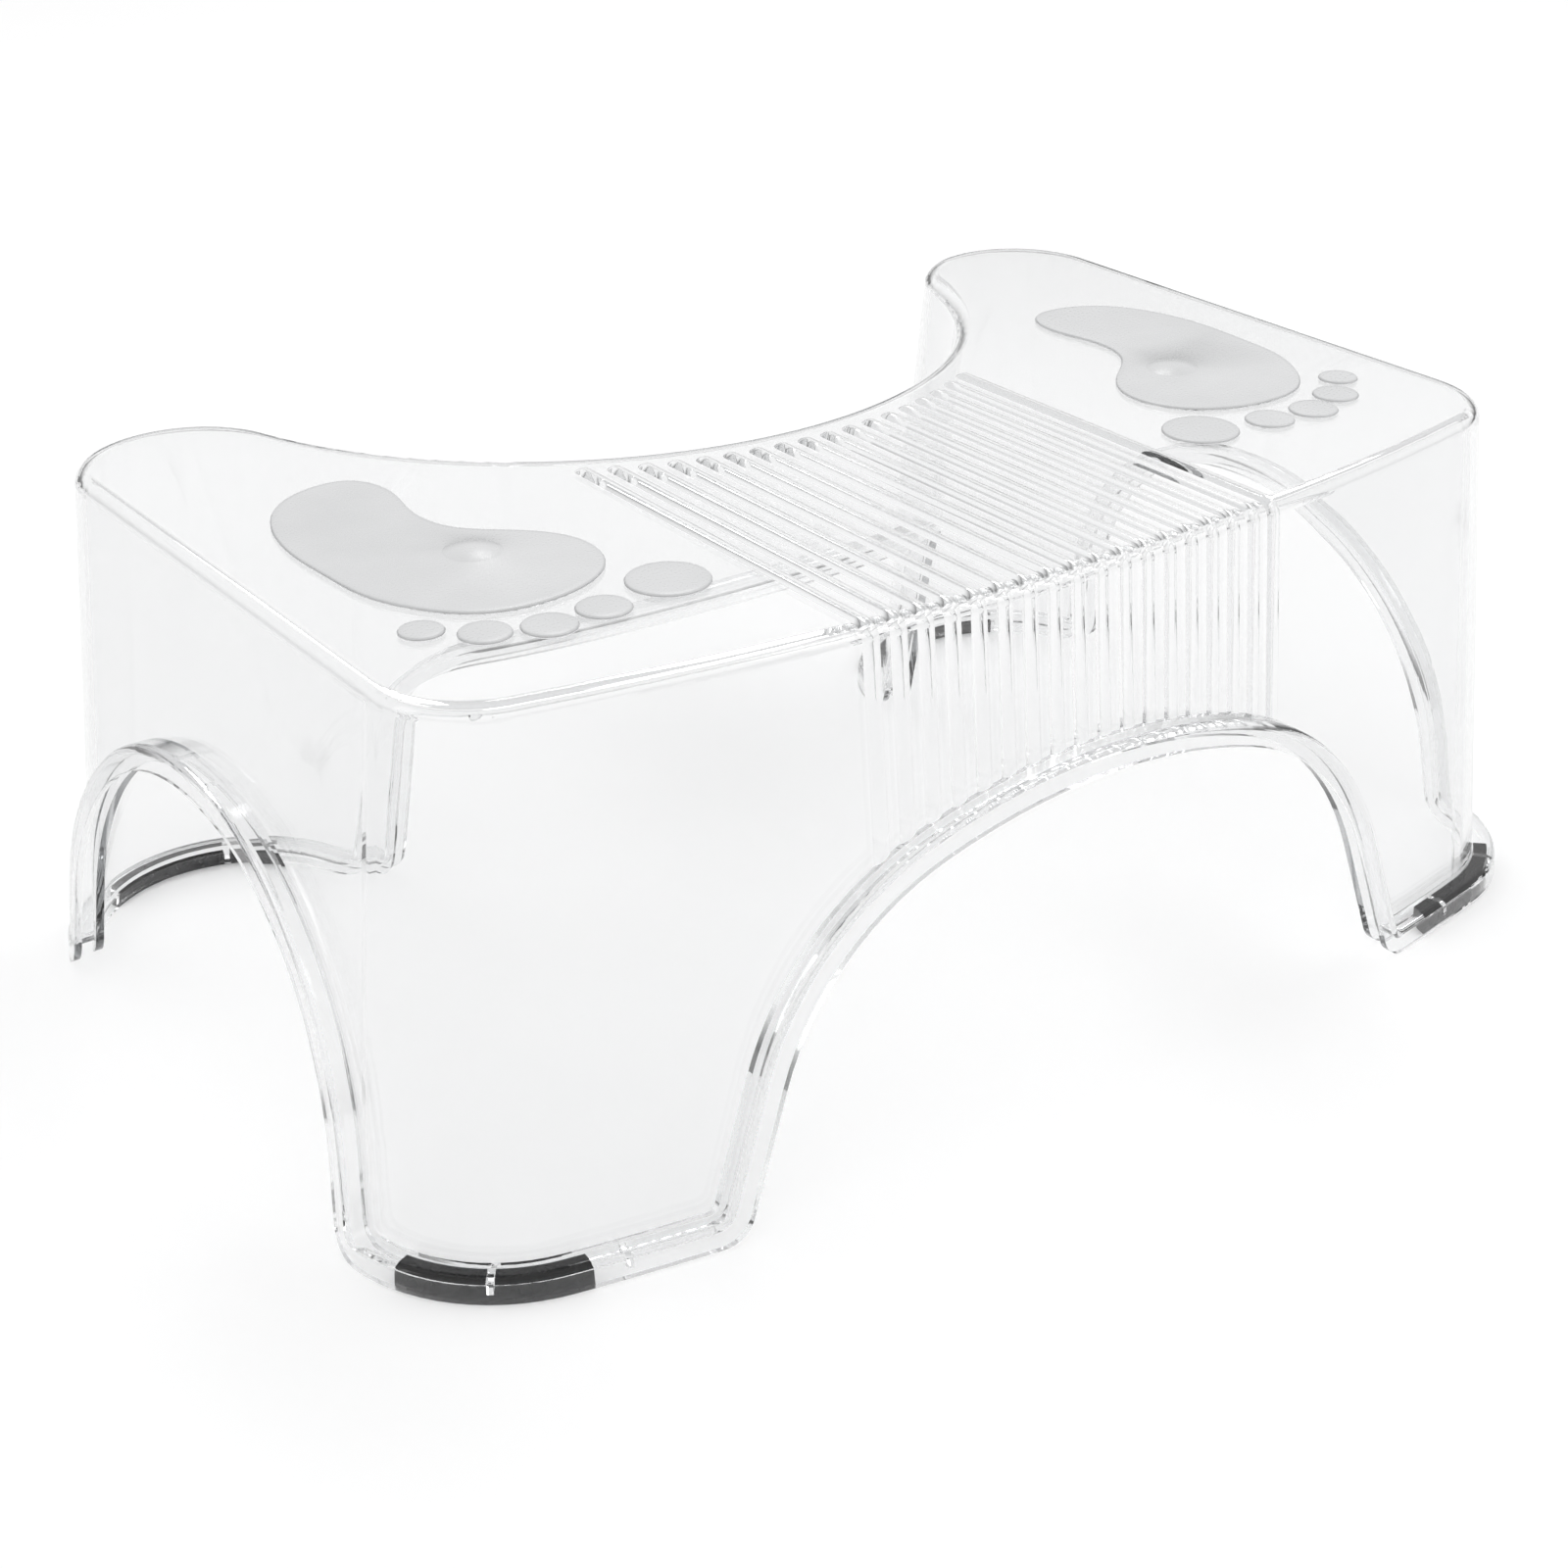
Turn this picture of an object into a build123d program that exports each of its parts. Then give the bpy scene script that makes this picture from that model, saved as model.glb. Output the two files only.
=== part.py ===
from build123d import *
from math import asin, atan2, cos, degrees, radians, sin, sqrt, tan
import os

# A clear moulded footstool that stands round the front of a toilet. X is its width, +Y points
# to the toilet and +Z is up. The origin is on the floor, at the middle of the overall box.
# All lengths are in millimetres and all angles in degrees.

# Overall size
overall_width = 451.5
overall_depth = 302.5
overall_height = 171.5

# Plan outline of the top plate, before the top edge is rounded
bow_radius = 850.0
front_corner_radius = 33.0
ear_radius = 34.0
scoop_depth = 122.9

# Shell walls
wall_thickness = 2.8
plate_thickness = 3.0
wall_draft = 5.2
top_edge_radius = 5.0

# Stepped rim along the whole lower edge
rim_width = 7.8
rim_height = 7.8
flange_thickness = 3.2
lip_thickness = 2.6
rim_round = 2.4
wall_foot_rise = 1.0
leg_corner_radius = 11.0

# Arch in the front wall and arch in the scoop wall, each set in from its leg's round corner
front_leg_flat = 39.5
front_rise = 110.0
front_side_lean = 19.0
front_shoulder_share = 0.685
front_crown_share = 1.407
rear_leg_inset = 33.0
rear_side_lean = 8.0
rear_shoulder_radius = 34.0
rear_crown_radius = 337.0
rear_leg_slant_share = 0.45

# Arches in the two side walls
side_half_span = 94.4
side_rise = 103.5
side_side_lean = 8.5
side_shoulder_share = 0.932
side_crown_share = 1.377
side_arch_centre = 7.3

# Raised ribs on the top plate and the front wall, as many as fit between the feet
rib_foot_gap = 29.0
rib_pitch = 8.83
rib_width = 6.6
rib_height = 1.2
rib_bed = 0.6
rib_scoop_gap = 14.0
rib_foot_drop = 14.0

# Foot shaped pads
foot_length = 116.7
foot_width = 72.8
foot_side_gap = 24.9
foot_front_edge = -69.3
pad_thickness = 1.6
pad_proud = 0.9
pad_edge_bevel = 0.6
pad_clearance = 0.15
nub_radius = 10.9
nub_height = 1.6
nub_across_share = 0.419
nub_along_share = 0.366

# Sole outline: shares of the foot's width from its inner edge and of its length from its front
sole_outline_shares = (
    (0.998, 0.620), (0.955, 0.780), (0.830, 0.925), (0.630, 0.998), (0.440, 0.985),
    (0.360, 0.870), (0.397, 0.700), (0.352, 0.542), (0.190, 0.440), (0.045, 0.340),
    (0.000, 0.240), (0.060, 0.115), (0.235, 0.029), (0.460, 0.000), (0.680, 0.029),
    (0.865, 0.145), (0.960, 0.280), (0.990, 0.450),
)

# Toe pads: name, then shares of the foot's width and length for the place, and of its width
# for the radius
toe_shares = (
    ("big_toe", -0.049, -0.058, 0.169),
    ("second_toe", 0.292, -0.108, 0.109),
    ("third_toe", 0.541, -0.121, 0.109),
    ("fourth_toe", 0.767, -0.069, 0.103),
    ("little_toe", 0.946, 0.029, 0.088),
)

# Rubber strips in the rim's channel, each between two angles about its leg's round corner
strip_clearance = 0.3
strip_proud = 1.0
left_strip_start = -107.0
left_strip_sweep = 63.0
right_strip_start = -85.0
right_strip_sweep = 61.0
rear_strip_start = 57.0
rear_strip_sweep = 75.0

# Low cross webs in the channel, which the strips are notched to clear
web_thickness = 1.8
web_low = 3.0
web_front_inset = 9.5
web_corner_angle = -54.0
web_ear_angles = (54.0, 110.0)

# One overrun serves every cut, and one match tells a drafted face
overrun = 20.0
draft_match = 0.0001

# Places worked out from the sizes above
plate_top = overall_height - rib_height
draft_slope = tan(radians(wall_draft))
floor_lean = (plate_top - strip_proud) * draft_slope
half_top = overall_width / 2 - rim_width - floor_lean
ear_x = half_top - ear_radius
ear_y = overall_depth / 2 - rim_width - floor_lean - ear_radius
scoop_radius = (ear_x ** 2 + scoop_depth * (scoop_depth - 2 * ear_radius)) / (2 * scoop_depth)
scoop_y = ear_y + ear_radius - scoop_depth + scoop_radius
front_y = rim_width + (plate_top - front_rise) * draft_slope - overall_depth / 2
bow_y = front_y + bow_radius
corner_x = half_top - front_corner_radius
corner_y = bow_y - sqrt((bow_radius - front_corner_radius) ** 2 - corner_x ** 2)
front_half_span = corner_x - front_leg_flat
front_shoulder_radius = front_shoulder_share * front_half_span
front_crown_radius = front_crown_share * front_half_span
rear_half_span = ear_x - rear_leg_inset
side_shoulder_radius = side_shoulder_share * side_half_span
side_crown_radius = side_crown_share * side_half_span
foot_inner_edge = half_top - foot_side_gap - foot_width
rib_count = int((foot_inner_edge - rib_foot_gap) * 2 / rib_pitch) + 1
flange_top = strip_proud + rim_height
flange_under = flange_top - flange_thickness


def mirrored(shape):
    """The same shape on the other side of the stool."""
    return mirror(shape, about=Plane.YZ)


def outline_arcs(grow):
    """Right hand half of the plan outline, moved outward by grow, from front to back."""
    bow_angle = degrees(atan2(corner_y - bow_y, corner_x))
    ear_angle = degrees(atan2(scoop_y - ear_y, -ear_x))
    scoop_angle = degrees(atan2(ear_y - scoop_y, ear_x))
    corner = (corner_x, corner_y)
    ear = (ear_x, ear_y)
    return [
        CenterArc((0, bow_y), bow_radius + grow, -90, bow_angle + 90),
        CenterArc(corner, front_corner_radius + grow, bow_angle, -bow_angle),
        Line((half_top + grow, corner_y), (half_top + grow, ear_y)),
        CenterArc(ear, ear_radius + grow, 0, ear_angle),
        CenterArc((0, scoop_y), scoop_radius - grow, scoop_angle, -90 - scoop_angle),
    ]


def outline_face(grow):
    """Whole plan outline as a face."""
    half = outline_arcs(grow)
    other_half = [mirrored(edge) for edge in half]
    return make_face(half + other_half)


def body(grow, low, high):
    """Solid block of the stool's outer form, moved outward by grow, between two heights."""
    lean = (plate_top - low) * draft_slope
    face = Pos(0, 0, low) * outline_face(grow + lean)
    return extrude(face, amount=high - low, taper=wall_draft)


def arch_face(half_span, rise, lean, shoulder_radius, crown_radius, base):
    """Outline of an arched opening with flared feet, across and up, standing on the floor."""
    along = Vector(-sin(radians(lean)), cos(radians(lean)))
    inward = Vector(-cos(radians(lean)), -sin(radians(lean)))
    crown_centre = Vector(0, rise - crown_radius)
    start = Vector(half_span, 0)
    from_crown = start + inward * shoulder_radius - crown_centre
    reach = crown_radius - shoulder_radius
    slip = from_crown.dot(along)
    climb = sqrt(slip ** 2 - from_crown.dot(from_crown) + reach ** 2) - slip
    shoulder_centre = start + along * climb + inward * shoulder_radius
    shoulder_angle = degrees(atan2(shoulder_centre.Y - crown_centre.Y, shoulder_centre.X))
    foot_radius = leg_corner_radius - base + strip_proud
    foot_climb = (base + foot_radius * (1 - sin(radians(lean)))) / cos(radians(lean))
    foot_centre = start + along * foot_climb - inward * foot_radius
    half = [
        Line((foot_centre.X, -overrun), (foot_centre.X, base)),
        CenterArc(foot_centre, foot_radius, -90, lean - 90),
        Line(foot_centre + inward * foot_radius, shoulder_centre - inward * shoulder_radius),
        CenterArc(shoulder_centre, shoulder_radius, lean, shoulder_angle - lean),
        CenterArc(crown_centre, crown_radius, shoulder_angle, 90 - shoulder_angle),
    ]
    other_half = [mirrored(edge) for edge in half]
    floor_line = Line((-foot_centre.X, -overrun), (foot_centre.X, -overrun))
    return make_face(half + other_half + [floor_line])


def grown_arch(kind, grow):
    """Face of one kind of arch, its edge moved outward by grow along the wall."""
    base = strip_proud + grow
    if kind == "front":
        span = front_half_span + grow / cos(radians(front_side_lean))
        return arch_face(span, front_rise + grow, front_side_lean,
                         front_shoulder_radius + grow, front_crown_radius + grow, base)
    if kind == "rear":
        span = rear_half_span + grow * rear_leg_slant_share / cos(radians(rear_side_lean))
        return arch_face(span, front_rise + grow, rear_side_lean,
                         rear_shoulder_radius + grow, rear_crown_radius + grow, base)
    span = side_half_span + grow / cos(radians(side_side_lean))
    return arch_face(span, side_rise + grow, side_side_lean,
                     side_shoulder_radius + grow, side_crown_radius + grow, base)


def front_opening(grow):
    """Cutter through the front wall."""
    profile = Pos(0, front_y / 2, 0) * (Plane.XZ * grown_arch("front", grow))
    return extrude(profile, amount=overall_depth)


def side_opening(grow):
    """Cutter through the right hand wall."""
    profile = Pos(ear_x, side_arch_centre, 0) * (Plane.YZ * grown_arch("side", grow))
    return extrude(profile, amount=overall_width)


def rear_opening(grow):
    """Cutters through the scoop wall and the ears, square to the wall all along."""
    profile = Pos(0, -overrun, 0) * (Plane.XZ * grown_arch("rear", grow))
    prism = extrude(profile, amount=-overall_depth)
    inside = -wall_thickness - rim_round
    depth = rim_width + floor_lean + rim_round - inside
    cutters = []
    for edge in outline_arcs(inside)[3:]:
        sheet = Pos(0, 0, -overrun) * Face.extrude(edge, (0, 0, plate_top))
        patch = sheet & prism
        for face in patch.faces() if patch else []:
            solid = Solid.thicken(face, depth, normal_override=wall_normal(face))
            cutters += [solid, mirrored(solid)]
    return cutters


def wall_normal(face):
    """Direction out of the stool at the middle of a piece of the ear or of the scoop."""
    centre = face.center()
    from_ear = Vector(centre.X - ear_x, centre.Y - ear_y, 0)
    if from_ear.length < ear_radius:
        return from_ear
    return Vector(-centre.X, scoop_y - centre.Y, 0)


def lower_zone(grow):
    """Everything below the lower edge of the shell, moved up and outward by grow."""
    slab_height = overrun + strip_proud + grow
    slab = Pos(0, 0, -overrun) * Box(2 * overall_width, 2 * overall_depth, slab_height,
                                     align=(Align.CENTER, Align.CENTER, Align.MIN))
    side = side_opening(grow)
    return [slab, front_opening(grow), side, mirrored(side)] + rear_opening(grow)


def within(block, zone):
    """The part of a block that lies in any solid of a zone."""
    pieces = [block & solid for solid in zone]
    return pieces[0].fuse(*pieces[1:])


def leaning_out(face):
    """True for a face that follows the outward draft of the walls."""
    return abs(face.normal_at().Z - sin(radians(wall_draft))) < draft_match


def rim_ring():
    """Stepped rim before its channel is cut, with its outer upper edge rounded."""
    band = body(rim_width, -overrun, plate_top - overrun)
    band -= body(-wall_thickness / 2, -2 * overrun, plate_top)
    ring = within(band, lower_zone(rim_height))
    edges = [edge for face in ring.faces().filter_by(leaning_out) for edge in face.edges()]
    upper_edges = [edge for edge in edges if edges.count(edge) == 1 and edge.center().Z > 0]
    return fillet(upper_edges, rim_round)


def rib(x):
    """One raised rib: along the plate, over the front edge and down to the front arch."""
    rear = scoop_y - sqrt((scoop_radius + rib_scoop_gap) ** 2 - x ** 2)
    edge = bow_y - sqrt(bow_radius ** 2 - x ** 2)
    low = front_rise - rib_foot_drop
    path = FilletPolyline(
        (x, rear, plate_top), (x, edge, plate_top),
        (x, edge - (plate_top - low) * draft_slope, low), radius=top_edge_radius)
    crest = ThreePointArc((-rib_width / 2, -rib_bed), (0, rib_height), (rib_width / 2, -rib_bed))
    section = make_face([crest, Line(crest @ 1, crest @ 0)])
    start = Plane(origin=(x, rear, plate_top), x_dir=(1, 0, 0), z_dir=(0, -1, 0))
    bar = sweep(start * section, path)
    half = section & Pos(rib_width / 2, 0) * Rectangle(rib_width, rib_width)
    dome = revolve(start * half, axis=Axis((x, rear, plate_top), (0, 0, 1)))
    return bar.fuse(dome)


def ribs():
    """All raised ribs, side by side about the middle of the stool."""
    first = -rib_pitch * (rib_count - 1) / 2
    return [rib(first + rib_pitch * index) for index in range(rib_count)]


def radial_slab(centre, start_radius, length, angle, width, low, high):
    """Upright slab that points away from a centre at an angle."""
    slab = Pos(start_radius, 0, low) * Box(length, width, high - low,
                                           align=(Align.MIN, Align.CENTER, Align.MIN))
    return Pos(centre[0], centre[1], 0) * Rot(0, 0, angle) * slab


def webs(width, low):
    """Cross webs of the rim's channel above every leg, down to a height."""
    bow_angle = degrees(asin((corner_x - web_front_inset) / bow_radius)) - 90
    places = [((0, bow_y), bow_radius, bow_angle)]
    places += [((corner_x, corner_y), front_corner_radius, web_corner_angle)]
    places += [((ear_x, ear_y), ear_radius, angle) for angle in web_ear_angles]
    slabs = []
    for centre, radius, angle in places:
        wall = radius + floor_lean - flange_under * draft_slope
        slab = radial_slab(centre, wall - wall_thickness / 2,
                           rim_width - lip_thickness / 2 + wall_thickness / 2,
                           angle, width, low, flange_under + flange_thickness / 2)
        slabs += [slab, mirrored(slab)]
    return slabs


def sole_face(grow):
    """Outline of the left foot's sole pad, larger all round by grow."""
    width = foot_width + 2 * grow
    length = foot_length + 2 * grow
    points = [(foot_inner_edge - grow + across * width, foot_front_edge - grow + along * length)
              for across, along in sole_outline_shares]
    return make_face(Spline(points, periodic=True))


def toe_face(place, grow):
    """Outline of one toe pad of the left foot, larger all round by grow."""
    across, along, radius_share = place
    centre = (foot_inner_edge + across * foot_width, foot_front_edge + along * foot_length)
    return Pos(*centre) * Circle(radius_share * foot_width + grow)


def pad(face):
    """Soft pad of a given outline, seated in its recess in the top plate."""
    low = plate_top + pad_proud - pad_thickness
    block = extrude(Pos(0, 0, low) * face, amount=pad_thickness)
    return chamfer(block.faces().sort_by(Axis.Z)[-1].edges(), pad_edge_bevel)


def recesses():
    """Cutters for the shallow recesses that the pads sit in."""
    low = plate_top + pad_proud - pad_thickness
    faces = [sole_face(pad_clearance)] + [toe_face(toe[1:], pad_clearance) for toe in toe_shares]
    cutters = [extrude(Pos(0, 0, low) * face, amount=pad_thickness) for face in faces]
    return cutters + [mirrored(cutter) for cutter in cutters]


def sole_pad():
    """Sole pad of the left foot with its one round raised nub."""
    top = plate_top + pad_proud
    nub_x = foot_inner_edge + nub_across_share * foot_width
    nub_y = foot_front_edge + nub_along_share * foot_length
    crest = ThreePointArc((-nub_radius, -pad_proud), (0, nub_height), (nub_radius, -pad_proud))
    section = make_face([crest, Line(crest @ 1, crest @ 0)])
    half = section & Pos(nub_radius, 0) * Rectangle(2 * nub_radius, 2 * nub_radius)
    axis = Axis((nub_x, nub_y, top), (0, 0, 1))
    nub = revolve(Pos(nub_x, nub_y, top) * (Plane.XZ * half), axis=axis)
    return pad(sole_face(0)).fuse(nub)


def stool_shell():
    """The one clear moulding: plate, walls, arches, stepped rim, ribs and pad recesses."""
    outer = body(0, -overrun, plate_top)
    outer = fillet(outer.faces().sort_by(Axis.Z)[-1].edges(), top_edge_radius)
    inner = body(-wall_thickness, -2 * overrun, plate_top - plate_thickness)
    inner = fillet(inner.faces().sort_by(Axis.Z)[-1].edges(), top_edge_radius - wall_thickness)
    shell = (outer - inner).fuse(rim_ring(), *ribs())
    for cutter in lower_zone(0):
        shell -= cutter
    under_flange = body(rim_width - lip_thickness, -overrun, plate_top - overrun)
    under_wall = body(0, -2 * overrun, plate_top)
    for cutter in lower_zone(rim_height - flange_thickness):
        shell -= (under_flange - under_wall) & cutter
    for cutter in lower_zone(wall_foot_rise):
        shell -= under_wall & cutter
    for web in webs(web_thickness, web_low):
        shell = shell.fuse(web)
    return shell.cut(*recesses())


def pie(centre, start, sweep):
    """Upright wedge about a centre, between two angles."""
    rim = CenterArc(centre, overall_depth / 2, start, sweep)
    sides = Polyline(rim @ 1, centre, rim @ 0)
    face = make_face([rim] + list(sides.edges()))
    return extrude(Pos(0, 0, -overrun) * face, amount=2 * overrun)


def foot_strip(centre, start, sweep):
    """Rubber strip in the rim's channel, bent round a leg's corner between two angles."""
    strip = body(rim_width - lip_thickness - strip_clearance, 0, flange_under)
    strip -= body(strip_clearance, -overrun, plate_top)
    strip = strip & pie(centre, start, sweep)
    for web in webs(web_thickness + 2 * strip_clearance, web_low - strip_clearance):
        strip -= web
    return strip


def all_nodes():
    """Every separate piece of the stool by name. Left and right are the sitter's own."""
    nodes = {"stool_shell": stool_shell()}
    sole = sole_pad()
    nodes["left_sole_pad"] = sole
    nodes["right_sole_pad"] = mirrored(sole)
    for toe in toe_shares:
        toe_pad = pad(toe_face(toe[1:], 0))
        nodes["left_" + toe[0] + "_pad"] = toe_pad
        nodes["right_" + toe[0] + "_pad"] = mirrored(toe_pad)
    corner = (corner_x, corner_y)
    left_strip = foot_strip(corner, left_strip_start, left_strip_sweep)
    right_strip = foot_strip(corner, right_strip_start, right_strip_sweep)
    rear_strip = foot_strip((ear_x, ear_y), rear_strip_start, rear_strip_sweep)
    nodes["front_left_foot_strip"] = left_strip
    nodes["front_right_foot_strip"] = mirrored(right_strip)
    nodes["rear_left_foot_strip"] = rear_strip
    nodes["rear_right_foot_strip"] = mirrored(rear_strip)
    return nodes


os.makedirs("parts", exist_ok=True)
for name, solid in all_nodes().items():
    export_step(solid, "parts/" + name + ".step")
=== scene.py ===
import math

import bmesh
import bpy
import numpy as np
from mathutils import Euler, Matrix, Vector


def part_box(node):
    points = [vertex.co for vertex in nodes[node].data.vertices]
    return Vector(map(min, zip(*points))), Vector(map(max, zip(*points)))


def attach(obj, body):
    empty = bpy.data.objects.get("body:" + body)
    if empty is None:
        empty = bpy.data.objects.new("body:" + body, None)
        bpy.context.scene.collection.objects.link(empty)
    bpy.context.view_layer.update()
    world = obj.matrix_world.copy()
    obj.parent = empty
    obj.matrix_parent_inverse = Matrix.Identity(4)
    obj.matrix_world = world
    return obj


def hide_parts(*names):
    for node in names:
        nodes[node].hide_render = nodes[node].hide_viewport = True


# A clear moulded footstool with grey foot shaped pads and black rubber strips under its legs.
# Lengths are in metres and angles in degrees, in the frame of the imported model.

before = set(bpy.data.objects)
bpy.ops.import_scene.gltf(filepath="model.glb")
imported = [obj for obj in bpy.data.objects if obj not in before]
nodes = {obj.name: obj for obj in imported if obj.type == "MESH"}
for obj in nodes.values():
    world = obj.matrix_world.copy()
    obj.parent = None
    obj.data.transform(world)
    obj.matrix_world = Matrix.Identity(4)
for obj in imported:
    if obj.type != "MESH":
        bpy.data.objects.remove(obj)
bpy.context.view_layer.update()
pad_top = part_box("left_big_toe_pad")[1][2]
scene = bpy.context.scene

# Camera, at the photograph's viewing angle
camera_place = (-0.47507, -0.65500, 0.46067)
camera_turn = (62.740, 0.458, -35.722)
camera_lens = 61.436
sensor_width = 36.0
view_reach = 40.0

# Floor: its size, cells along each side, and two hardly different tones
floor_size = 14.0
floor_cells = 4
floor_tones = ((0.92, 0.92, 0.92), (0.93, 0.93, 0.93))
floor_cloud_scale = 1.4
floor_roughness = 0.8
floor_mirror = 0.1

# Sky: height from 0 at the horizon to 1 overhead, and its light at that height
sky_tones = ((0.08, 0.16), (0.34, 1.18), (0.60, 1.12), (0.78, 0.90))

# Soft lights that face the stool: place, size across and along, power in watts
softbox_aim = (0.0, 0.0, 0.08)
softboxes = {
    "front_softbox": ((0.95, -1.15, 1.45), (0.9, 0.4), 6.0),
    "back_softbox": ((0.86, 1.20, 1.90), (0.5, 0.5), 4.5),
    "left_softbox": ((-2.2, 0.3, 1.2), (0.7, 1.4), 4.0),
}

# Clear plastic: how it bends and tints light, how much light a metre of it takes, and how often
# light may turn before it goes straight through
plastic_ior = 1.49
plastic_tints = ((0.930, 0.932, 0.934), (0.940, 0.942, 0.944))
plastic_depth_tone = (0.0, 0.02, 0.04)
plastic_density = 9.0
trapped_depth = 7.0
passing_tone = (0.99, 0.99, 0.99)

# Marks of the moulding: waves, specks and hairlines, with the roughness that they add and the
# band of their noise in which they show
wave_scale = 9.0
wave_strength = 0.02
wave_height = 0.0006
speck_scale = 420.0
speck_detail = 2.0
speck_roughness = 0.05
speck_band = (0.62, 0.8)
hairline_scale = 60.0
hairline_detail = 6.0
hairline_stretch = (1.0, 14.0, 3.0)
hairline_roughness = 0.03
hairline_band = (0.6, 0.75)

# Soft materials: two tones, range of roughness, grain's scale and height, and how strongly they
# mirror
soft_looks = {
    "grey_soft_pad": (
        ((0.57, 0.575, 0.58), (0.61, 0.615, 0.62)), (0.24, 0.36), 900.0, 0.00002, 0.5),
    "black_rubber": (
        ((0.004, 0.004, 0.005), (0.01, 0.01, 0.011)), (0.12, 0.4), 240.0, 0.0002, 0.2),
}
soft_cloud_scale = 38.0
soft_detail = 3.0
grain_strength = 0.35

# Foot pads: how full they are, how their outlines are read, and how their edges and crowns run
level_match = 0.00001
outline_digits = 6
outline_spacing = 0.0008
outline_least_points = 48
pad_edge_rings = 6
pad_edge_radius = 0.0007
pad_crown = 0.00018
pad_crown_width = 0.00168
pad_crown_shares = (0.35, 0.7, 1.0)
nub_rings = 10
nub_steps = 72

# How often light may turn on its way, and how many clear surfaces it may pass
turn_limit = 28
clear_limit = 32

# Band of a noise that holds most of its values
noise_band = (0.3, 0.7)

# Sockets of a node that mixes colours
mix_share, mix_first, mix_second, mix_result = 0, 6, 7, 2


def new_material(name):
    """A new material and its node tree, which is still empty."""
    material = bpy.data.materials.new(name)
    material.use_nodes = True
    tree = material.node_tree
    tree.nodes.clear()
    return material, tree


def add(tree, kind, **values):
    """Node of a kind, with values for its named inputs or its own settings."""
    node = tree.nodes.new(kind)
    for key, value in values.items():
        if key in node.inputs:
            node.inputs[key].default_value = value
        else:
            setattr(node, key, value)
    return node


def noise(tree, scale, detail, stretch=(1.0, 1.0, 1.0)):
    """Noise in the object's own space, stretched along its axes."""
    place = add(tree, "ShaderNodeTexCoord")
    mapping = add(tree, "ShaderNodeMapping")
    mapping.inputs["Scale"].default_value = stretch
    texture = add(tree, "ShaderNodeTexNoise", Scale=scale, Detail=detail)
    tree.links.new(place.outputs["Object"], mapping.inputs["Vector"])
    tree.links.new(mapping.outputs["Vector"], texture.inputs["Vector"])
    return texture.outputs["Fac"]


def ranged(tree, value, low, high, band=noise_band):
    """A value within a band spread over a new range."""
    node = add(tree, "ShaderNodeMapRange")
    node.inputs["From Min"].default_value, node.inputs["From Max"].default_value = band
    node.inputs["To Min"].default_value = low
    node.inputs["To Max"].default_value = high
    tree.links.new(value, node.inputs["Value"])
    return node.outputs["Result"]


def blend_colours(tree, share, tones):
    """Colour between two tones."""
    node = add(tree, "ShaderNodeMix", data_type="RGBA")
    for socket, tone in zip((mix_first, mix_second), tones):
        node.inputs[socket].default_value = (*tone, 1.0)
    tree.links.new(share, node.inputs[mix_share])
    return node.outputs[mix_result]


def bumped(tree, height, strength, distance):
    """Normal of a surface that a height lifts."""
    node = add(tree, "ShaderNodeBump", Strength=strength, Distance=distance)
    tree.links.new(height, node.inputs["Height"])
    return node.outputs["Normal"]


def worn_roughness(tree):
    """Roughness of polished plastic with small specks and hairlines."""
    specks = noise(tree, speck_scale, speck_detail)
    hairlines = noise(tree, hairline_scale, hairline_detail, hairline_stretch)
    worn = add(tree, "ShaderNodeMath", operation="ADD")
    tree.links.new(ranged(tree, specks, 0.0, speck_roughness, speck_band), worn.inputs[0])
    tree.links.new(ranged(tree, hairlines, 0.0, hairline_roughness, hairline_band), worn.inputs[1])
    return worn.outputs[0]


def let_straight_out(tree):
    """Share of light that goes straight on: all that casts shadows or has turned too often."""
    light_path = add(tree, "ShaderNodeLightPath")
    trapped = add(tree, "ShaderNodeMath", operation="GREATER_THAN")
    trapped.inputs[1].default_value = trapped_depth
    let_out = add(tree, "ShaderNodeMath", operation="MAXIMUM")
    tree.links.new(light_path.outputs["Ray Depth"], trapped.inputs[0])
    tree.links.new(trapped.outputs[0], let_out.inputs[0])
    tree.links.new(light_path.outputs["Is Shadow Ray"], let_out.inputs[1])
    return let_out.outputs[0]


def clear_plastic():
    """Polished clear plastic with the faint waves, hairlines and specks of a moulding."""
    material, tree = new_material("clear_plastic")
    waves = noise(tree, wave_scale, 0.0)
    surface = add(tree, "ShaderNodeBsdfPrincipled", IOR=plastic_ior)
    surface.inputs["Transmission Weight"].default_value = 1.0
    tint = blend_colours(tree, ranged(tree, waves, 0.0, 1.0), plastic_tints)
    tree.links.new(tint, surface.inputs["Base Color"])
    tree.links.new(worn_roughness(tree), surface.inputs["Roughness"])
    tree.links.new(bumped(tree, waves, wave_strength, wave_height), surface.inputs["Normal"])
    passing = add(tree, "ShaderNodeBsdfTransparent")
    passing.inputs["Color"].default_value = (*passing_tone, 1.0)
    mixed = add(tree, "ShaderNodeMixShader")
    tree.links.new(let_straight_out(tree), mixed.inputs[0])
    tree.links.new(surface.outputs[0], mixed.inputs[1])
    tree.links.new(passing.outputs[0], mixed.inputs[2])
    depth = add(tree, "ShaderNodeVolumeAbsorption", Density=plastic_density)
    depth.inputs["Color"].default_value = (*plastic_depth_tone, 1.0)
    output = add(tree, "ShaderNodeOutputMaterial")
    tree.links.new(mixed.outputs[0], output.inputs["Surface"])
    tree.links.new(depth.outputs[0], output.inputs["Volume"])
    return material


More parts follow.
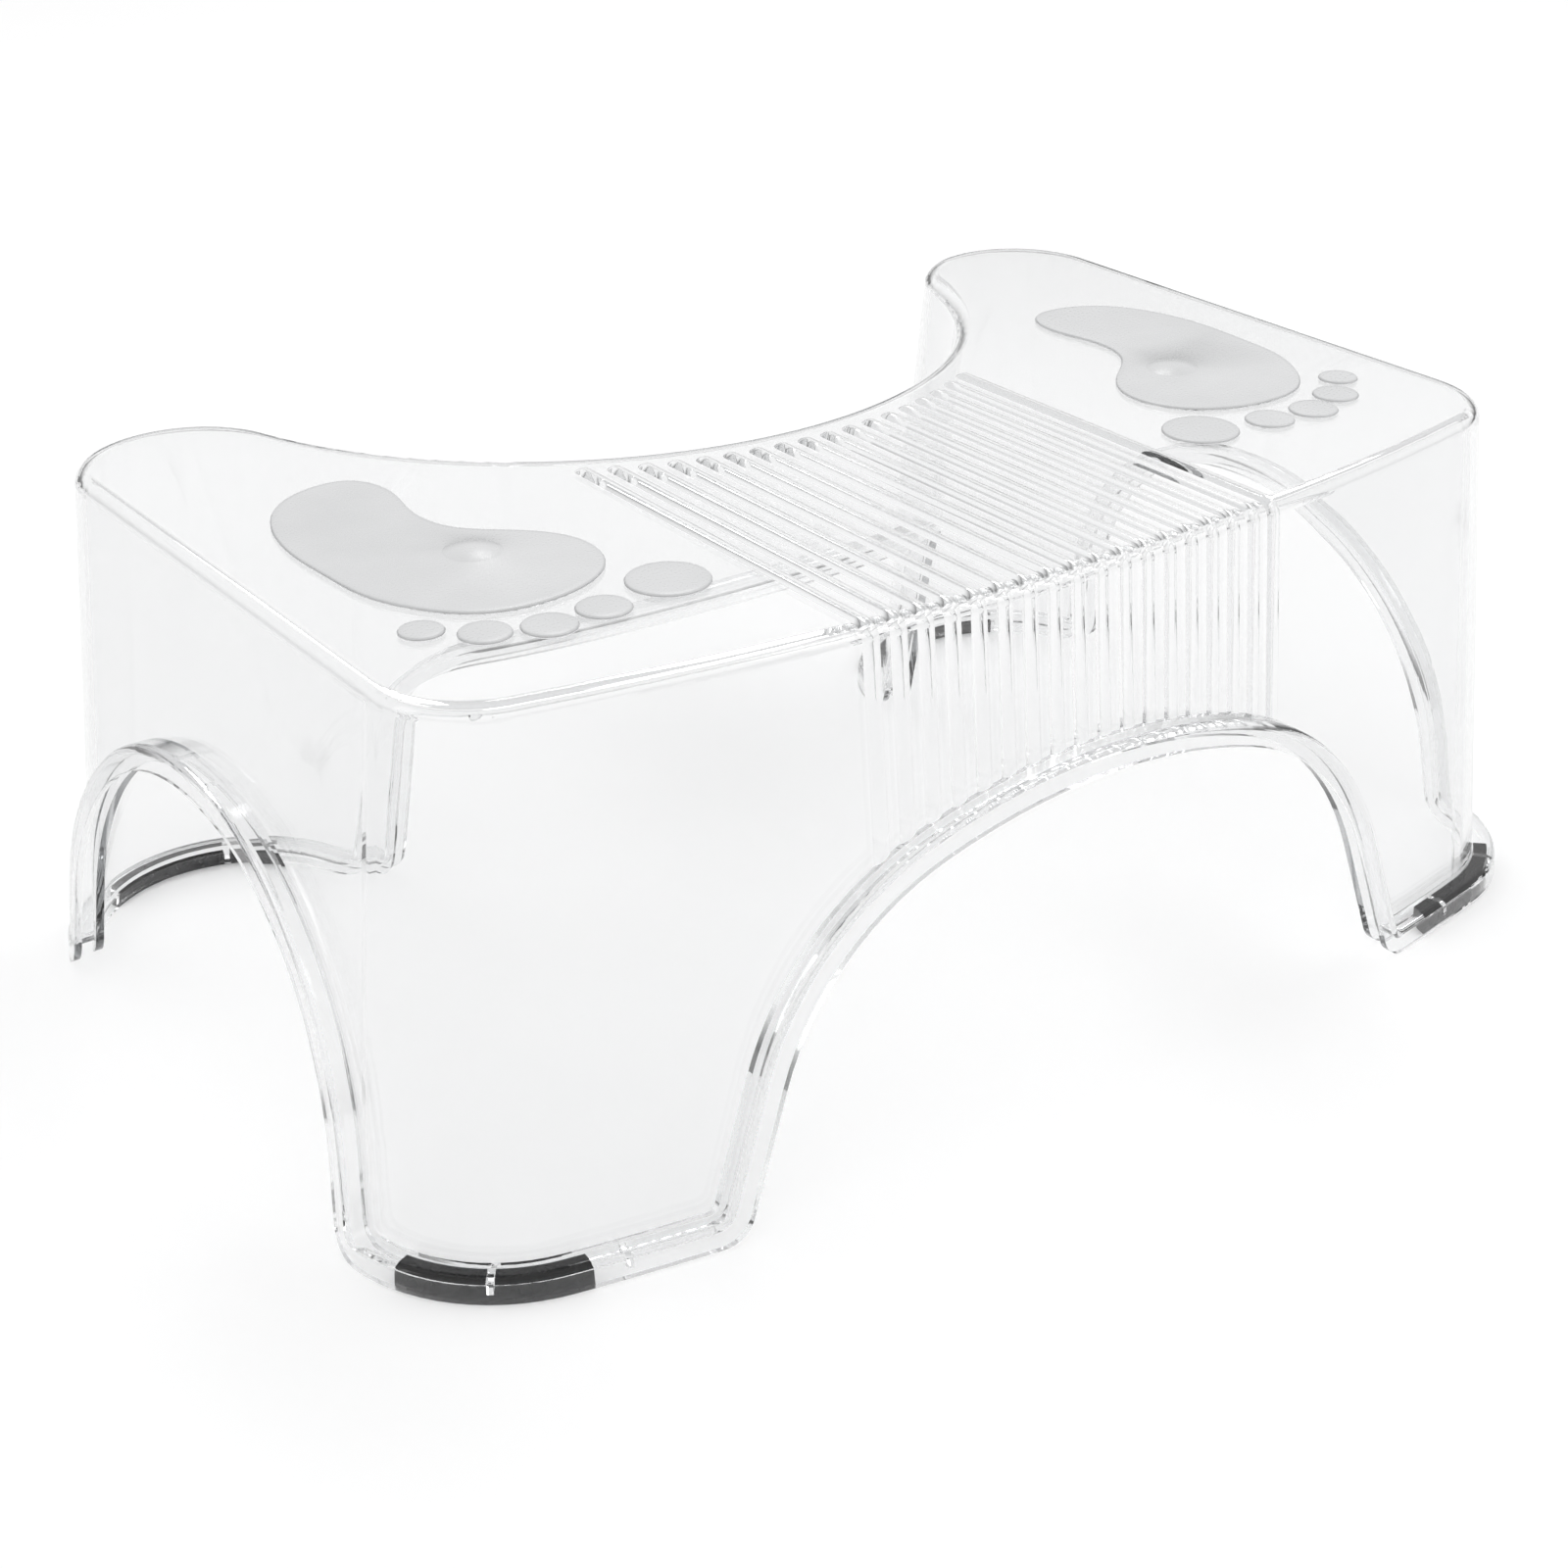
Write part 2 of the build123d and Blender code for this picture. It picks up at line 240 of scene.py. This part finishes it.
def soft_material(name):
    """Soft rubber: a mottled tone, an uneven gloss and a fine grain."""
    tones, (smooth, rough), grain, grain_height, mirror = soft_looks[name]
    material, tree = new_material(name)
    cloud = noise(tree, soft_cloud_scale, soft_detail)
    fine = noise(tree, grain, soft_detail)
    surface = add(tree, "ShaderNodeBsdfPrincipled")
    surface.inputs["Specular IOR Level"].default_value = mirror
    colour = blend_colours(tree, ranged(tree, cloud, 0.0, 1.0), tones)
    tree.links.new(colour, surface.inputs["Base Color"])
    tree.links.new(ranged(tree, fine, smooth, rough), surface.inputs["Roughness"])
    tree.links.new(bumped(tree, fine, grain_strength, grain_height), surface.inputs["Normal"])
    output = add(tree, "ShaderNodeOutputMaterial")
    tree.links.new(surface.outputs[0], output.inputs["Surface"])
    return material


def floor_material():
    """Pale matt floor with a hardly visible cloud."""
    material, tree = new_material("pale_floor")
    cloud = noise(tree, floor_cloud_scale, 2.0)
    surface = add(tree, "ShaderNodeBsdfPrincipled", Roughness=floor_roughness)
    surface.inputs["Specular IOR Level"].default_value = floor_mirror
    tree.links.new(blend_colours(tree, cloud, floor_tones), surface.inputs["Base Color"])
    output = add(tree, "ShaderNodeOutputMaterial")
    tree.links.new(surface.outputs[0], output.inputs["Surface"])
    return material


def dress(obj, material):
    """Gives every face of an object one material."""
    obj.data.materials.clear()
    obj.data.materials.append(material)


def mesh_object(name, builder, material):
    """Object from a bmesh, smooth shaded."""
    mesh = bpy.data.meshes.new(name)
    builder.to_mesh(mesh)
    builder.free()
    for face in mesh.polygons:
        face.use_smooth = True
    obj = bpy.data.objects.new(name, mesh)
    scene.collection.objects.link(obj)
    dress(obj, material)
    return obj


def border_edges(node):
    """Edges round the lower face of a flat pad's node, as pairs of places in plan."""
    mesh = node.data
    low = min(vertex.co.z for vertex in mesh.vertices)
    uses = {}
    for polygon in mesh.polygons:
        corners = [mesh.vertices[index].co for index in polygon.vertices]
        if max(corner.z for corner in corners) > low + level_match:
            continue
        keys = [(round(corner.x, outline_digits), round(corner.y, outline_digits)) for corner in corners]
        for first, second in zip(keys, keys[1:] + keys[:1]):
            edge = tuple(sorted((first, second)))
            uses[edge] = uses.get(edge, 0) + 1
    return [edge for edge, count in uses.items() if count == 1]


def node_outline(node):
    """Outline of a flat pad's lower face, as points in order and anticlockwise."""
    following = {}
    for first, second in border_edges(node):
        following.setdefault(first, []).append(second)
        following.setdefault(second, []).append(first)
    start = next(iter(following))
    loop = [start, following[start][0]]
    while True:
        options = [key for key in following[loop[-1]] if key != loop[-2]]
        if not options or options[0] == start:
            break
        loop.append(options[0])
    loop = np.array(loop)
    x, y = loop[:, 0], loop[:, 1]
    if np.sum(x * np.roll(y, -1) - np.roll(x, -1) * y) < 0:
        loop = loop[::-1]
    return loop


def evened(loop):
    """The same closed outline with evenly spaced points."""
    closed = np.vstack([loop, loop[:1]])
    steps = np.hypot(*np.diff(closed, axis=0).T)
    along = np.concatenate([[0.0], np.cumsum(steps)])
    count = max(outline_least_points, int(along[-1] / outline_spacing))
    wanted = np.linspace(0.0, along[-1], count, endpoint=False)
    return np.column_stack([np.interp(wanted, along, closed[:, axis]) for axis in (0, 1)])


def inset(loop, distance):
    """The outline moved inward by a distance."""
    ahead = np.roll(loop, -1, axis=0) - np.roll(loop, 1, axis=0)
    ahead /= np.hypot(ahead[:, 0], ahead[:, 1])[:, None]
    inward = np.column_stack([-ahead[:, 1], ahead[:, 0]])
    return loop + distance * inward


def ring(builder, loop, height):
    """Vertices of one level of a pad."""
    return [builder.verts.new((x, y, height)) for x, y in loop]


def ring_edges(builder, level):
    """Edges of one level of a pad, in order."""
    return [builder.edges.get(pair) for pair in zip(level, level[1:] + level[:1])]


def bridge(builder, lower, upper):
    """Faces between two levels with as many points."""
    for index in range(len(lower)):
        after = (index + 1) % len(lower)
        builder.faces.new((lower[index], lower[after], upper[after], upper[index]))


def pad_side(builder, outline, low):
    """Upright side, rounded edge and rising crown of a pad, and its first and last level."""
    levels = [ring(builder, outline, low)]
    for step in range(pad_edge_rings + 1):
        angle = math.radians(90.0 * step / pad_edge_rings)
        loop = inset(outline, pad_edge_radius * (1 - math.cos(angle)))
        height = pad_top - pad_crown - pad_edge_radius * (1 - math.sin(angle))
        levels.append(ring(builder, loop, height))
    for share in pad_crown_shares:
        loop = inset(outline, pad_edge_radius + share * pad_crown_width)
        levels.append(ring(builder, loop, pad_top - pad_crown * (1 - share) ** 2))
    for lower, upper in zip(levels, levels[1:]):
        bridge(builder, lower, upper)
    return levels[0], levels[-1]


def pad_nub(builder, centre, radius, rise):
    """Domed nub on the top of a pad, and its lowest level."""
    around = np.radians(np.arange(nub_steps) * 360.0 / nub_steps)
    circle = np.column_stack([np.cos(around), np.sin(around)])
    levels = []
    for step in range(nub_rings):
        reach = radius * math.cos(math.radians(90.0 * step / nub_rings))
        height = pad_top + rise * (1 - (reach / radius) ** 2)
        levels.append(ring(builder, np.array(centre) + reach * circle, height))
    for lower, upper in zip(levels, levels[1:]):
        bridge(builder, lower, upper)
    tip = builder.verts.new((*centre, pad_top + rise))
    last = levels[-1]
    for index in range(nub_steps):
        builder.faces.new((last[index], last[(index + 1) % nub_steps], tip))
    return levels[0]


def nub_of(name):
    """Centre, radius and rise of the raised nub of a sole pad, read from its node."""
    raised = [v.co for v in nodes[name].data.vertices if v.co.z > pad_top + level_match]
    points = np.array([(p.x, p.y, p.z) for p in raised])
    centre = (points[:, :2].min(axis=0) + points[:, :2].max(axis=0)) / 2
    rise = points[:, 2].max() - pad_top
    low = points[points[:, 2].argmin()]
    share = math.sqrt(1 - (low[2] - pad_top) / rise)
    return tuple(centre), math.hypot(low[0] - centre[0], low[1] - centre[1]) / share, rise


def pad_piece(name, material, nub=None):
    """Modelled pad in place of a node: rounded edge, slightly crowned top and, on a sole, a nub."""
    outline = evened(node_outline(nodes[name]))
    builder = bmesh.new()
    bottom, crown = pad_side(builder, outline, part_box(name)[0][2])
    top_edges = ring_edges(builder, crown)
    if nub:
        top_edges += ring_edges(builder, pad_nub(builder, *nub))
    bmesh.ops.triangle_fill(builder, edges=top_edges, use_beauty=True, normal=(0, 0, 1))
    bottom_edges = ring_edges(builder, bottom)
    bmesh.ops.triangle_fill(builder, edges=bottom_edges, use_beauty=True, normal=(0, 0, -1))
    bmesh.ops.recalc_face_normals(builder, faces=builder.faces[:])
    piece = mesh_object(name + "_soft", builder, material)
    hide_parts(name)
    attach(piece, "root")


def floor():
    """Wide pale floor under the stool."""
    builder = bmesh.new()
    bmesh.ops.create_grid(builder, x_segments=floor_cells, y_segments=floor_cells, size=floor_size / 2)
    mesh_object("floor", builder, floor_material())


def sky():
    """Sky with a dark band at the horizon, brightest above it and dimmer overhead."""
    world = bpy.data.worlds.new("studio")
    world.use_nodes = True
    scene.world = world
    tree = world.node_tree
    tree.nodes.clear()
    place = add(tree, "ShaderNodeTexCoord")
    split = add(tree, "ShaderNodeSeparateXYZ")
    ramp = add(tree, "ShaderNodeValToRGB")
    stops = ramp.color_ramp.elements
    brightest = max(light for height, light in sky_tones)
    for index, (height, light) in enumerate(sky_tones):
        stop = stops[index] if index < len(stops) else stops.new(height)
        stop.position = height
        stop.color = (light / brightest,) * 3 + (1.0,)
    background = add(tree, "ShaderNodeBackground", Strength=brightest)
    output = add(tree, "ShaderNodeOutputWorld")
    tree.links.new(place.outputs["Generated"], split.inputs[0])
    tree.links.new(split.outputs["Z"], ramp.inputs[0])
    tree.links.new(ramp.outputs["Color"], background.inputs["Color"])
    tree.links.new(background.outputs[0], output.inputs["Surface"])


def softbox(name, place, size, power):
    """Rectangular soft light that faces the stool."""
    light = bpy.data.lights.new(name, "AREA")
    light.shape = "RECTANGLE"
    light.size, light.size_y = size
    light.energy = power
    obj = bpy.data.objects.new(name, light)
    obj.location = place
    aim = Vector(softbox_aim) - Vector(place)
    obj.rotation_euler = aim.to_track_quat("-Z", "Y").to_euler()
    scene.collection.objects.link(obj)


def camera():
    """Camera at the photograph's place."""
    data = bpy.data.cameras.new("camera")
    data.lens = camera_lens
    data.sensor_width = sensor_width
    data.clip_end = view_reach
    obj = bpy.data.objects.new("camera", data)
    obj.location = camera_place
    obj.rotation_euler = Euler([math.radians(angle) for angle in camera_turn], "XYZ")
    scene.collection.objects.link(obj)
    scene.camera = obj


scene.view_settings.view_transform = "Standard"
scene.cycles.max_bounces = turn_limit
scene.cycles.transmission_bounces = turn_limit
scene.cycles.glossy_bounces = turn_limit
scene.cycles.transparent_max_bounces = clear_limit

camera()
floor()
sky()
for name, (place, size, power) in softboxes.items():
    softbox(name, place, size, power)

shell_material = clear_plastic()
pad_material = soft_material("grey_soft_pad")
strip_material = soft_material("black_rubber")

dress(nodes["stool_shell"], shell_material)
for name in nodes:
    if name.endswith("_foot_strip"):
        dress(nodes[name], strip_material)
    elif name.endswith("_sole_pad"):
        pad_piece(name, pad_material, nub_of(name))
    elif name.endswith("_pad"):
        pad_piece(name, pad_material)
